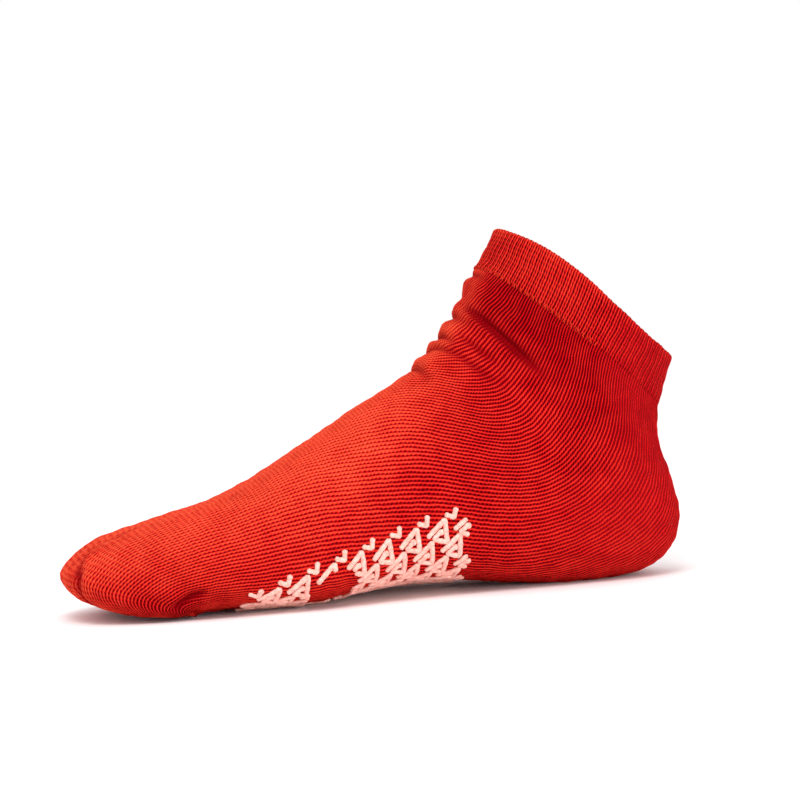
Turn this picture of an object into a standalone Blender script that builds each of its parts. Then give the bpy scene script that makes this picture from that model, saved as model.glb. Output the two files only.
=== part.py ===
"""Slipper sock of the right side, filled out as on a last: one knitted tube with a ribbed cuff, a seam
that closes the toe, and a raised grip print under the sole.

Metres, +Z up. The toe points to -X, the heel to +X, and the inner side, with the big toe, faces -Y.
The origin is the centre of the sock's footprint, on the floor.
"""

import math
from collections import namedtuple

import bpy
import numpy as np

# Sizes of the filled sock, measured over the knit
FOOT_LENGTH = 0.240
BALL_WIDTH = 0.093
ANKLE_WIDTH = 0.063
TOE_HEIGHT = 0.037
ARCH_HEIGHT = 0.0045
TOE_SLANT = 0.014
INSTEP_HEIGHT = 0.085
COLLAR_FRONT = 0.1365
COLLAR_BACK = 0.0822

# Sizes of the knit
KNIT_WALL = 0.0013
CUFF_STEP = 0.0008
CUFF_EDGE = 0.0015
RIM_ROUND = 0.0006
COLUMNS = 36

# Sizes of the grip print, which also lifts the front of the knit off the floor
PRINT_GAP = 0.0003
PRINT_THICKNESS = 0.0006
STROKE = 0.00130
STROKE_PIECE = 0.0032
MOTIF_PITCH = 0.0109
PRINT_START = 0.275 * FOOT_LENGTH
PRINT_END = 0.596 * FOOT_LENGTH
PRINT_BEND = 0.30
FLAT_DEPTH = 0.0005

# One ring of the tube lies in the plane through its sole point and its top point. Widths run from the
# centre line to the inner and the outer side, ridge is where the top lies, widest is the share of the
# ring's height at which it is widest, and low and high say how square it is below and above that.
Ring = namedtuple("Ring", "sole_x sole_z top_x top_z inner outer ridge widest low high")

# Lengths along the foot are shares of FOOT_LENGTH and widths shares of half the BALL_WIDTH.
# Heights are shares of TOE_HEIGHT at the toe. At the foot, sole heights are shares of ARCH_HEIGHT and
# top heights run from TOE_HEIGHT at 0 to INSTEP_HEIGHT at 1.
TOE_RINGS = (
    Ring(0.190, 0.03, 0.186, 0.03, 0.60, 0.52, 0.04, 0.50, 2.0, 2.0),
    Ring(0.200, 0.01, 0.140, 0.02, 0.70, 0.64, 0.00, 0.45, 3.0, 2.1),
    Ring(0.210, 0.00, 0.084, 0.05, 0.77, 0.73, -0.10, 0.46, 2.8, 2.2),
    Ring(0.219, 0.00, 0.039, 0.15, 0.82, 0.79, -0.20, 0.44, 2.5, 2.3),
    Ring(0.227, 0.00, 0.011, 0.29, 0.85, 0.82, -0.26, 0.42, 2.3, 2.3),
    Ring(0.234, 0.00, 0.002, 0.45, 0.88, 0.85, -0.30, 0.40, 2.2, 2.3),
    Ring(0.242, 0.00, 0.018, 0.595, 0.91, 0.88, -0.34, 0.38, 2.2, 2.3),
    Ring(0.252, 0.00, 0.053, 0.755, 0.93, 0.91, -0.37, 0.37, 2.2, 2.3),
    Ring(0.266, 0.00, 0.103, 0.875, 0.95, 0.93, -0.38, 0.36, 2.3, 2.3),
)
FOOT_RINGS = (
    Ring(0.290, 0.00, 0.172, 0.00, 0.96, 0.95, -0.38, 0.35, 2.4, 2.2),
    Ring(0.328, 0.00, 0.242, 0.09, 0.97, 0.98, -0.36, 0.34, 2.6, 2.2),
    Ring(0.388, 0.05, 0.312, 0.24, 0.96, 1.00, -0.32, 0.33, 2.7, 2.2),
    Ring(0.460, 0.55, 0.382, 0.44, 0.90, 0.99, -0.28, 0.32, 2.7, 2.1),
    Ring(0.542, 0.95, 0.448, 0.63, 0.83, 0.95, -0.24, 0.32, 2.6, 2.1),
    Ring(0.626, 0.80, 0.512, 0.84, 0.78, 0.88, -0.20, 0.33, 2.6, 2.1),
    Ring(0.710, 0.35, 0.566, 0.96, 0.75, 0.80, -0.15, 0.34, 2.6, 2.1),
)

# At the leg, lengths are shares of FOOT_LENGTH, widths of half the ANKLE_WIDTH, sole heights of
# COLLAR_BACK, and top heights run from INSTEP_HEIGHT at 0 to COLLAR_FRONT at 1.
LEG_RINGS = (
    Ring(0.790, 0.00, 0.598, 0.10, 1.08, 1.08, -0.16, 0.36, 2.6, 2.1),
    Ring(0.868, 0.00, 0.622, 0.22, 1.07, 1.06, -0.10, 0.38, 2.5, 2.1),
    Ring(0.938, 0.03, 0.640, 0.31, 1.06, 1.05, -0.04, 0.40, 2.4, 2.1),
    Ring(0.983, 0.12, 0.655, 0.40, 1.06, 1.05, 0.00, 0.42, 2.3, 2.1),
    Ring(1.000, 0.26, 0.668, 0.48, 1.06, 1.05, 0.00, 0.44, 2.2, 2.1),
    Ring(0.990, 0.43, 0.681, 0.56, 1.06, 1.05, 0.00, 0.46, 2.1, 2.1),
    Ring(0.973, 0.61, 0.690, 0.64, 1.04, 1.04, 0.00, 0.48, 2.1, 2.1),
    Ring(0.977, 0.79, 0.698, 0.72, 1.00, 1.00, 0.00, 0.50, 2.0, 2.0),
    Ring(1.000, 1.00, 0.731, 1.00, 1.00, 1.00, 0.00, 0.50, 2.0, 2.0),
)

# A fold is a soft ridge, or a trough where its height is below zero, along a line between two places.
# A place is a share of the girth (0 sole, a quarter inner side, a half top) and a share of the length.
Fold = namedtuple("Fold", "from_around from_along to_around to_along width height")
FOLDS = (
    Fold(0.212, 0.060, 0.222, 0.210, 0.0030, -0.0016),
    Fold(0.425, 0.055, 0.450, 0.230, 0.0040, -0.0020),
    Fold(0.530, 0.070, 0.530, 0.190, 0.0060, 0.0010),
    Fold(0.420, 0.628, 0.570, 0.622, 0.0026, 0.0010),
    Fold(0.380, 0.650, 0.600, 0.648, 0.0022, -0.0008),
    Fold(0.370, 0.680, 0.640, 0.676, 0.0026, 0.0014),
    Fold(0.350, 0.712, 0.640, 0.704, 0.0020, -0.0013),
    Fold(0.380, 0.734, 0.660, 0.730, 0.0026, 0.0015),
    Fold(0.350, 0.762, 0.650, 0.756, 0.0020, -0.0014),
    Fold(0.340, 0.782, 0.670, 0.784, 0.0026, 0.0016),
    Fold(0.320, 0.812, 0.660, 0.812, 0.0022, -0.0019),
    Fold(0.360, 0.842, 0.640, 0.838, 0.0024, 0.0015),
    Fold(0.380, 0.866, 0.620, 0.862, 0.0020, -0.0010),
)

# The printed motif is a stroke that winds inward round a triangle. Columns are lengths along the foot
# and down its side, as shares of MOTIF_PITCH, from the middle of the motif.
Corner = namedtuple("Corner", "along down")
MOTIF = (
    Corner(-0.40, 0.07),
    Corner(0.36, -0.26),
    Corner(0.21, 0.34),
    Corner(-0.17, 0.15),
    Corner(0.10, 0.02),
)

# Rows of the print lie along the foot at shares of its girth. Even rows stand half a pitch toeward.
PrintRow = namedtuple("PrintRow", "around even")
PRINT_ROWS = (
    PrintRow(0.206, True),
    PrintRow(0.176, False),
    PrintRow(0.146, True),
    PrintRow(0.086, True),
    PrintRow(0.026, True),
    PrintRow(-0.034, True),
    PrintRow(-0.094, True),
    PrintRow(-0.154, True),
)
# The patch left bare: two shares of the girth, two places as shares of FOOT_LENGTH
BARE_PATCH = (0.10, 0.19, 0.346, 0.450)


def ring_sizes():
    """The rings of the three tables in metres, one row each: the two points, widths and shape."""
    sizes = []
    half_ball, half_ankle = BALL_WIDTH / 2, ANKLE_WIDTH / 2
    for row in TOE_RINGS:
        heights = row.sole_z * TOE_HEIGHT, row.top_z * TOE_HEIGHT
        sizes.append((row, heights, half_ball))
    for row in FOOT_RINGS:
        top = TOE_HEIGHT + row.top_z * (INSTEP_HEIGHT - TOE_HEIGHT)
        sizes.append((row, (row.sole_z * ARCH_HEIGHT, top), half_ball))
    for row in LEG_RINGS:
        top = INSTEP_HEIGHT + row.top_z * (COLLAR_FRONT - INSTEP_HEIGHT)
        sizes.append((row, (row.sole_z * COLLAR_BACK, top), half_ankle))
    return np.array([
        (row.sole_x * FOOT_LENGTH, low, row.top_x * FOOT_LENGTH, top,
         -row.inner * half, row.outer * half, row.ridge * half, row.widest, row.low, row.high)
        for row, (low, top), half in sizes
    ])


def smooth_rows(rows, at):
    """Rows between the given ones: a Catmull-Rom curve through every column."""
    last = len(rows) - 1
    start = np.clip(np.floor(at).astype(int), 0, last - 1)
    t = (at - start)[:, None]
    before = rows[np.maximum(start - 1, 0)]
    here, after = rows[start], rows[start + 1]
    beyond = rows[np.minimum(start + 2, last)]
    return 0.5 * (
        2 * here + (after - before) * t
        + (2 * before - 5 * here + 4 * after - beyond) * t ** 2
        + (3 * here - before - 3 * after + beyond) * t ** 3
    )


def length_shares(rows, fine):
    """Share of the tube's length at each step along the tables. The length is the mean of the way along
    the sole and the way over the top, so that courses are spread evenly."""
    path = smooth_rows(rows, fine)[:, :4]
    steps = np.diff(path, axis=0)
    mean_step = (np.hypot(steps[:, 0], steps[:, 1]) + np.hypot(steps[:, 2], steps[:, 3])) / 2
    length = np.concatenate([[0], np.cumsum(mean_step)])
    return length / length[-1], length[-1]


SIZES = ring_sizes()
FINE = np.linspace(0, len(SIZES) - 1, 40 * len(SIZES))
SHARES, TUBE_LENGTH = length_shares(SIZES, FINE)
CUFF_START = float(np.interp(len(SIZES) - 2, FINE, SHARES))


def ring_points(ring, around):
    """Points of one ring at shares of its girth: 0 at the sole, a quarter at the inner side, a half on
    top. Each quarter is a superellipse from the sole point or the top point to the widest place."""
    sole_x, sole_z, top_x, top_z, inner, outer, ridge, widest, low, high = ring
    middle = (inner + outer) / 2
    quarter = np.linspace(0, math.pi / 2, 40)
    grow_low, left_low = np.sin(quarter) ** (2 / low), 1 - np.cos(quarter) ** (2 / low)
    grow_high, left_high = np.sin(quarter) ** (2 / high), np.cos(quarter) ** (2 / high)
    sides = [
        (middle + (inner - middle) * grow_low, widest * left_low),
        (ridge + (inner - ridge) * left_high, widest + (1 - widest) * grow_high),
        ((ridge + (outer - ridge) * left_high)[::-1], (widest + (1 - widest) * grow_high)[::-1]),
        ((middle + (outer - middle) * grow_low)[::-1], (widest * left_low)[::-1]),
    ]
    y = np.concatenate([side[0] for side in sides])
    share = np.concatenate([side[1] for side in sides])
    height = math.hypot(top_x - sole_x, top_z - sole_z)
    steps = np.hypot(np.diff(y), np.diff(share) * height)
    length = np.concatenate([[0], np.cumsum(steps)])
    wanted = np.mod(around, 1.0) * length[-1]
    y, share = np.interp(wanted, length, y), np.interp(wanted, length, share)
    return np.stack([sole_x + share * (top_x - sole_x), y, sole_z + share * (top_z - sole_z)], axis=-1)


def last_surface(around, along):
    """The plain form of the last, before folds, on a grid of shares of girth and shares of length."""
    rings = smooth_rows(SIZES, np.interp(along, SHARES, FINE))
    return np.stack([ring_points(ring, around) for ring in rings])


def normals_of(points):
    """Unit normals of a grid of points that closes on itself around the girth, facing out."""
    around = np.roll(points, -1, axis=1) - np.roll(points, 1, axis=1)
    along = np.gradient(points, axis=0)
    normals = np.cross(along, around)
    return normals / np.maximum(np.linalg.norm(normals, axis=2, keepdims=True), 1e-12)


def smooth_step(value, start, end):
    """0 at start and before it, 1 at end and beyond, with an even S between them."""
    t = np.clip((value - start) / (end - start), 0, 1)
    return t * t * (3 - 2 * t)


def foot_form(points):
    """Bends the plain rings into a foot: the toe end draws back toward the outer side, and the outer side
    of the sole stays down where the arch rises on the inner side."""
    points = points.copy()
    outward = np.clip(points[..., 1] / (BALL_WIDTH / 2), 0, 1)
    near_toe = smooth_step(points[..., 0], 0.42 * FOOT_LENGTH, 0.08 * FOOT_LENGTH)
    points[..., 0] += TOE_SLANT * outward ** 2 * near_toe
    sole_x = [row.sole_x * FOOT_LENGTH for row in FOOT_RINGS + LEG_RINGS[:1]]
    arch = [row.sole_z * ARCH_HEIGHT for row in FOOT_RINGS + LEG_RINGS[:1]]
    rise = np.interp(points[..., 0], sole_x, arch)
    low = smooth_step(points[..., 2], 0.030, 0.0)
    points[..., 2] -= rise * low * smooth_step(points[..., 1], -0.2 * BALL_WIDTH, 0.35 * BALL_WIDTH)
    return points


def fold_height(points):
    """How far the folds move each point out: a bell across each line, fading out at its two ends."""
    total = np.zeros(points.shape[:-1])
    shares = np.linspace(0, 1, 9)
    for fold in FOLDS:
        around = fold.from_around + shares * (fold.to_around - fold.from_around)
        along = fold.from_along + shares * (fold.to_along - fold.from_along)
        line = np.concatenate([
            foot_form(last_surface(around[i:i + 1], along[i:i + 1]))[0] for i in range(9)
        ])
        nearest = np.full(total.shape, np.inf)
        where = np.zeros(total.shape)
        for i in range(8):
            run = line[i + 1] - line[i]
            share = np.clip((points - line[i]) @ run / (run @ run), 0, 1)
            away = np.linalg.norm(points - line[i] - share[..., None] * run, axis=-1)
            where = np.where(away < nearest, (i + share) / 8, where)
            nearest = np.minimum(away, nearest)
        total += fold.height * np.exp(-(nearest / fold.width) ** 2) * np.sin(math.pi * where) ** 0.7
    return total


def knit_surface(around, along):
    """The outer face of the knit on a grid of shares: the last, its folds, the step of the cuff and the
    flat places on the floor. The print lifts the front of the foot."""
    points = foot_form(last_surface(around, along))
    v = np.repeat(along[:, None], len(around), axis=1)
    edge = CUFF_EDGE / TUBE_LENGTH
    cuff = CUFF_STEP * smooth_step(v, CUFF_START - edge, CUFF_START + edge)
    rim = RIM_ROUND * smooth_step(v, 1 - RIM_ROUND * 3 / TUBE_LENGTH, 1)
    points = points + (fold_height(points) + cuff - rim)[..., None] * normals_of(points)
    over_print = smooth_step(points[..., 0], 0.76 * FOOT_LENGTH, 0.62 * FOOT_LENGTH)
    lift = (PRINT_GAP + PRINT_THICKNESS) * over_print
    points[..., 2] = np.maximum(points[..., 2] - FLAT_DEPTH, 0) + lift
    return points


COLUMN_SHARES = np.arange(COLUMNS) / COLUMNS
# Rings stand closer together where the ankle folds, and at the step of the cuff
RING_SHARES = np.concatenate([
    np.linspace(0, 0.24, 12)[:-1],
    np.linspace(0.24, 0.60, 14)[:-1],
    np.linspace(0.60, 0.90, 25)[:-1],
    [CUFF_START - 0.006, CUFF_START + 0.006, 0.975, 0.993, 1.0],
])
POINTS = knit_surface(COLUMN_SHARES, RING_SHARES)
LOWEST_X, HIGHEST_X = POINTS[..., 0].min(), POINTS[..., 0].max()
LOWEST_Y, HIGHEST_Y = POINTS[..., 1].min() - PRINT_GAP - PRINT_THICKNESS, POINTS[..., 1].max()
CENTRE = np.array([(LOWEST_X + HIGHEST_X) / 2, (LOWEST_Y + HIGHEST_Y) / 2, 0.0])


def new_material(name, color, roughness):
    """A Principled material of one colour."""
    material = bpy.data.materials.new(name)
    material.use_nodes = True
    shader = material.node_tree.nodes["Principled BSDF"]
    shader.inputs["Base Color"].default_value = (*color, 1.0)
    shader.inputs["Roughness"].default_value = roughness
    return material


def new_object(name, points, faces, material, collection):
    """A mesh object of the given points and faces in the parts collection."""
    mesh = bpy.data.meshes.new(name)
    mesh.from_pydata([tuple(point) for point in points], [], faces)
    mesh.materials.append(material)
    obj = bpy.data.objects.new(name, mesh)
    collection.objects.link(obj)
    return obj


def build_knit(material, collection):
    """The sock: rings joined into a tube, closed at the toe where the first ring is pressed into a line.
    The wall is laid inward, thicker in the cuff."""
    rings, columns = len(RING_SHARES), COLUMNS
    # The first ring folds flat, each point on its sole side meeting the one across on the toe side
    partner = (columns // 2 - np.arange(columns)) % columns
    points = POINTS - CENTRE
    seam = (points[0] + points[0][partner]) / 2
    kept = [k for k in range(columns) if k <= partner[k]]
    place = {k: kept.index(min(k, int(partner[k]))) for k in range(columns)}
    vertices = [seam[k] for k in kept] + [point for ring in points[1:] for point in ring]

    def index(ring, column):
        column %= columns
        if ring == 0:
            return place[column]
        return len(kept) + (ring - 1) * columns + column

    faces = [
        (index(r, c), index(r + 1, c), index(r + 1, c + 1), index(r, c + 1))
        for r in range(rings - 1)
        for c in range(columns)
    ]
    obj = new_object("knit_sock", vertices, faces, material, collection)
    group = obj.vertex_groups.new(name="wall")
    thick = KNIT_WALL + CUFF_STEP
    group.add(list(range(len(vertices))), KNIT_WALL / thick, "REPLACE")
    first_cuff = int(np.argmax(RING_SHARES > CUFF_START))
    group.add(list(range(index(first_cuff, 0), len(vertices))), 1.0, "REPLACE")
    wall = obj.modifiers.new("wall", "SOLIDIFY")
    wall.thickness = thick
    wall.offset = -1.0
    wall.vertex_group = "wall"
    wall.use_even_offset = False
    return obj


def print_places():
    """Where the motifs stand: row and place along the foot. Even rows move on by half a pitch."""
    places = []
    for number, row in enumerate(PRINT_ROWS):
        first = PRINT_END - (0.5 * MOTIF_PITCH if row.even else 0.0)
        count = int((first - PRINT_START) / MOTIF_PITCH) + 1
        for place in first - MOTIF_PITCH * np.arange(count):
            low, high, start, end = BARE_PATCH
            if not (low < row.around < high and start < place / FOOT_LENGTH < end):
                places.append((number, row.around, float(place)))
    return places


def motif_strip():
    """The motif as a strip: points along its two edges."""
    corners = np.array(MOTIF) * MOTIF_PITCH
    ways = np.diff(corners, axis=0)
    ways /= np.linalg.norm(ways, axis=1, keepdims=True)
    across = np.stack([-ways[:, 1], ways[:, 0]], axis=1)
    at_corner = [across[0]]
    for before, after in zip(across[:-1], across[1:]):
        middle = before + after
        at_corner.append(middle * 2 / (middle @ middle))
    at_corner.append(across[-1])
    at_corner = np.array(at_corner)
    left, right = corners + at_corner * STROKE / 2, corners - at_corner * STROKE / 2
    lengths = np.linalg.norm(np.diff(corners, axis=0), axis=1)
    edges = [[], []]
    for i, length in enumerate(lengths):
        pieces = max(1, round(length / STROKE_PIECE))
        shares = np.arange(pieces)[:, None] / pieces
        for edge, side in zip(edges, (left, right)):
            edge.extend(side[i] + shares * (side[i + 1] - side[i]))
    edges[0].append(left[-1])
    edges[1].append(right[-1])
    return np.array(edges[0]), np.array(edges[1])


class PrintedArea:
    """The outer face of the knit under the print as a fine grid, read between its points."""

    def __init__(self):
        self.around = np.linspace(-0.25, 0.30, 221)
        self.along = np.linspace(0.02, 0.66, 321)
        full = np.arange(400) / 400 - 0.25
        points = knit_surface(full, self.along)
        normals = normals_of(points)
        self.points = points[:, : len(self.around)] - CENTRE
        self.normals = normals[:, : len(self.around)]

    def read(self, grid, u, v):
        """Values of a grid at shares u of the girth and v of the length."""
        at_u = (u + 0.25) / (self.around[1] - self.around[0])
        at_v = (v - self.along[0]) / (self.along[1] - self.along[0])
        i = np.clip(at_v.astype(int), 0, len(self.along) - 2)
        j = np.clip(at_u.astype(int), 0, len(self.around) - 2)
        s, t = (at_v - i)[:, None], (at_u - j)[:, None]
        below = grid[i, j] * (1 - t) + grid[i, j + 1] * t
        above = grid[i + 1, j] * (1 - t) + grid[i + 1, j + 1] * t
        return below * (1 - s) + above * s

    def lay(self, around, place, drawing):
        """Points of a flat drawing laid on the knit, and the normals there. Its middle goes to a share of
        the girth and a place along the foot, and its lengths keep their size."""
        bend = np.clip((PRINT_BEND - self.along) / PRINT_BEND, 0, 1) ** 2
        row = around * (1 - bend)
        line = self.read(self.points, row, self.along)
        v = float(np.interp(place, line[:, 0] + CENTRE[0], self.along))
        u = float(np.interp(v, self.along, row))
        step = 0.004
        beside = np.array([u - step, u + step, u, u]), np.array([v, v, v - step, v + step])
        near = self.read(self.points, *beside)
        by_u = (near[1] - near[0]) / (2 * step)
        by_v = (near[3] - near[2]) / (2 * step)
        length = np.linalg.norm(by_v)
        way = by_v / length
        lean = by_u @ way
        width = np.linalg.norm(by_u - lean * way)
        du = -drawing[:, 1] / width
        dv = (drawing[:, 0] - du * lean) / length
        return self.read(self.points, u + du, v + dv), self.read(self.normals, u + du, v + dv)


def build_print(material, collection):
    """The raised motifs, one object each: a strip along the stroke, held off the knit and thickened."""
    area = PrintedArea()
    left, right = motif_strip()
    count = len(left)
    faces = [(i, i + 1, count + i + 1, count + i) for i in range(count - 1)]
    for number, (row, around, place) in enumerate(print_places()):
        points, normals = area.lay(around, place, np.concatenate([left, right]))
        normals /= np.linalg.norm(normals, axis=1, keepdims=True)
        points = points + PRINT_GAP * normals
        obj = new_object(f"print_{row + 1}_{number + 1:02d}", points, faces, material, collection)
        raised = obj.modifiers.new("raised", "SOLIDIFY")
        raised.thickness = PRINT_THICKNESS
        raised.offset = 1.0
        raised.use_even_offset = False


def main():
    for obj in list(bpy.data.objects):
        bpy.data.objects.remove(obj, do_unlink=True)
    parts = bpy.data.collections.new("slipper_sock")
    bpy.context.scene.collection.children.link(parts)
    red_knit = new_material("red_knit", (0.60, 0.012, 0.012), 0.9)
    coral_print = new_material("coral_print", (0.94, 0.50, 0.42), 0.6)
    build_knit(red_knit, parts)
    build_print(coral_print, parts)


main()
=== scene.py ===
# %% [markdown]
# # A knitted slipper sock
#
# The sock is one knitted tube: a seam closes the toe, the ankle is pushed into folds, the cuff is ribbed,
# and small raised triangles are printed under the sole so that it grips. It is shown filled out, as on a
# last for the right side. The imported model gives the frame, and the pieces below take its place in view.

import math
from collections import namedtuple

import bmesh
import bpy
import numpy as np
from mathutils import Matrix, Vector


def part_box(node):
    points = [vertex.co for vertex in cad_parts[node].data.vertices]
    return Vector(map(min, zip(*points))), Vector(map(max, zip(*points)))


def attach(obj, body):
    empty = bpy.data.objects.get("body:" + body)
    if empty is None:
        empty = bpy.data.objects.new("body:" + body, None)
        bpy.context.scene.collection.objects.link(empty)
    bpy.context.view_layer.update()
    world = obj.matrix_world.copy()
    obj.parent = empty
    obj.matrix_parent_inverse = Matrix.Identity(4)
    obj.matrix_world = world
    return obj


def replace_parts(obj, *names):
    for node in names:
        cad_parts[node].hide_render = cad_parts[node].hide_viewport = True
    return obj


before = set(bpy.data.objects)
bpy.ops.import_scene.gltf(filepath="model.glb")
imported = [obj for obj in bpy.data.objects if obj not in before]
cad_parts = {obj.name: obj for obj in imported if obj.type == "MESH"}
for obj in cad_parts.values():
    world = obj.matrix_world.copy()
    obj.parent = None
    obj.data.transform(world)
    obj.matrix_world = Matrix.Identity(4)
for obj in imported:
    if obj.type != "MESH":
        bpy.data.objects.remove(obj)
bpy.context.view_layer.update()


def as_lists(box):
    """A box's two corners as plain lists."""
    return [[float(value) for value in corner] for corner in box]


# %% [markdown]
# ## Sizes
#
# All lengths are in metres. A machine that knits such a sock has 168 needles, so 168 wales, the columns
# of loops, run round the tube. A course is one row of loops round the tube.

# %% Sizes of the sock and of the knit
FOOT_LENGTH = 0.240
BALL_WIDTH = 0.093
ANKLE_WIDTH = 0.063
TOE_HEIGHT = 0.037
ARCH_HEIGHT = 0.0045
TOE_SLANT = 0.014
INSTEP_HEIGHT = 0.085
COLLAR_FRONT = 0.1365
COLLAR_BACK = 0.0822

BALL_GIRTH = 0.23  # the way round the foot where the print is

WALES = 168
KNIT_WALL = 0.0013
CUFF_STEP = 0.0004  # how much further out the cuff's face lies than the tube's
PRINT_GAP = 0.0003  # from the floor to the beads' crowns, and then their height
PRINT_THICKNESS = 0.0006
FLAT_DEPTH = 0.0005  # how far the round of the sole is pressed flat
print("a wale at the ball is about", round(1000 * BALL_GIRTH / WALES, 1), "mm wide")

# %% [markdown]
# ## The form of the last
#
# A sock has no form of its own: it takes that of the last it is stretched on. The last is drawn as rings
# that fan round the toe and round the front of the ankle, as the courses of the knit do. Each ring lies in
# the plane through a point on the sole and a point on top, and one row of the table gives those points,
# its widths and how square it is. That way a wale of the knit is simply a line of constant place around
# the rings. A sculpted mesh would look as smooth, but its faces would not follow the knit.

# %% The rings
Ring = namedtuple("Ring", "sole_x sole_z top_x top_z inner outer ridge widest low high")
TOE_RINGS = (
    Ring(0.190, 0.06, 0.186, 0.06, 0.60, 0.52, 0.04, 0.50, 2.0, 2.0),
    Ring(0.200, 0.04, 0.140, 0.05, 0.70, 0.64, 0.00, 0.45, 3.0, 2.1),
    Ring(0.210, 0.01, 0.084, 0.06, 0.77, 0.73, -0.10, 0.46, 2.4, 2.2),
    Ring(0.219, 0.00, 0.039, 0.15, 0.82, 0.79, -0.20, 0.44, 2.2, 2.3),
    Ring(0.227, 0.00, 0.011, 0.29, 0.85, 0.82, -0.26, 0.42, 2.1, 2.3),
    Ring(0.234, 0.00, 0.002, 0.45, 0.88, 0.85, -0.30, 0.40, 2.2, 2.3),
    Ring(0.242, 0.00, 0.018, 0.595, 0.91, 0.88, -0.34, 0.38, 2.2, 2.3),
    Ring(0.252, 0.00, 0.053, 0.755, 0.93, 0.91, -0.37, 0.37, 2.2, 2.3),
    Ring(0.266, 0.00, 0.103, 0.875, 0.95, 0.93, -0.38, 0.36, 2.3, 2.3),
)
FOOT_RINGS = (
    Ring(0.290, 0.00, 0.172, 0.00, 0.96, 0.95, -0.38, 0.35, 2.4, 2.2),
    Ring(0.328, 0.00, 0.242, 0.09, 0.97, 0.98, -0.36, 0.34, 2.6, 2.2),
    Ring(0.388, 0.05, 0.312, 0.24, 0.96, 1.00, -0.32, 0.33, 2.7, 2.2),
    Ring(0.460, 0.55, 0.382, 0.44, 0.90, 0.99, -0.28, 0.32, 2.7, 2.1),
    Ring(0.542, 0.95, 0.448, 0.63, 0.83, 0.95, -0.24, 0.32, 2.6, 2.1),
    Ring(0.626, 0.80, 0.512, 0.84, 0.78, 0.88, -0.20, 0.33, 2.6, 2.1),
    Ring(0.710, 0.35, 0.566, 0.96, 0.75, 0.80, -0.15, 0.34, 2.6, 2.1),
)
LEG_RINGS = (
    Ring(0.790, 0.00, 0.598, 0.10, 1.08, 1.08, -0.16, 0.36, 2.6, 2.1),
    Ring(0.868, 0.00, 0.622, 0.22, 1.07, 1.06, -0.10, 0.38, 2.5, 2.1),
    Ring(0.938, 0.03, 0.640, 0.31, 1.06, 1.05, -0.04, 0.40, 2.4, 2.1),
    Ring(0.983, 0.12, 0.655, 0.40, 1.06, 1.05, 0.00, 0.42, 2.3, 2.1),
    Ring(1.000, 0.26, 0.668, 0.48, 1.06, 1.05, 0.00, 0.44, 2.2, 2.1),
    Ring(0.990, 0.43, 0.681, 0.56, 1.06, 1.05, 0.00, 0.46, 2.1, 2.1),
    Ring(0.973, 0.61, 0.690, 0.64, 1.04, 1.04, 0.00, 0.48, 2.1, 2.1),
    Ring(0.977, 0.79, 0.698, 0.72, 1.00, 1.00, 0.00, 0.50, 2.0, 2.0),
    Ring(1.002, 1.015, 0.731, 1.00, 1.00, 1.00, 0.00, 0.50, 2.0, 2.0),
)


def ring_sizes():
    """Rows of the three tables in metres: shares of length, width and height times the sizes they follow."""
    rows = []
    toe_and_foot = [(row, BALL_WIDTH / 2) for row in TOE_RINGS + FOOT_RINGS]
    for number, (row, half) in enumerate(toe_and_foot + [(row, ANKLE_WIDTH / 2) for row in LEG_RINGS]):
        if number < len(TOE_RINGS):
            low, top = row.sole_z * TOE_HEIGHT, row.top_z * TOE_HEIGHT
        elif number < len(toe_and_foot):
            low, top = row.sole_z * ARCH_HEIGHT, TOE_HEIGHT + row.top_z * (INSTEP_HEIGHT - TOE_HEIGHT)
        else:
            low, top = row.sole_z * COLLAR_BACK, INSTEP_HEIGHT + row.top_z * (COLLAR_FRONT - INSTEP_HEIGHT)
        rows.append((row.sole_x * FOOT_LENGTH, low, row.top_x * FOOT_LENGTH, top,
                     -row.inner * half, row.outer * half, row.ridge * half, row.widest, row.low, row.high))
    return np.array(rows)


def smooth_rows(rows, at):
    """Rows between the given ones. Each column follows a Catmull-Rom curve, a cubic whose slope at a row is
    half the difference of its two neighbours."""
    last = len(rows) - 1
    start = np.clip(np.floor(at).astype(int), 0, last - 1)
    t = (at - start)[:, None]
    before = rows[np.maximum(start - 1, 0)]
    here, after = rows[start], rows[start + 1]
    beyond = rows[np.minimum(start + 2, last)]
    return 0.5 * (
        2 * here + (after - before) * t
        + (2 * before - 5 * here + 4 * after - beyond) * t ** 2
        + (3 * here - before - 3 * after + beyond) * t ** 3
    )


def length_shares(rows, fine):
    """Share of the tube's length at each fine step: the running sum of the mean of the step along the sole
    and the step over the top."""
    path = smooth_rows(rows, fine)[:, :4]
    steps = np.diff(path, axis=0)
    mean_step = (np.hypot(steps[:, 0], steps[:, 1]) + np.hypot(steps[:, 2], steps[:, 3])) / 2
    length = np.concatenate([[0], np.cumsum(mean_step)])
    return length / length[-1], length[-1]


RING_SIZES = ring_sizes()
FINE = np.linspace(0, len(RING_SIZES) - 1, 40 * len(RING_SIZES))
SHARES, TUBE_LENGTH = length_shares(RING_SIZES, FINE)
CUFF_START = float(np.interp(len(RING_SIZES) - 2, FINE, SHARES))
print("the tube is", round(1000 * TUBE_LENGTH, 1), "mm long")


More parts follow.
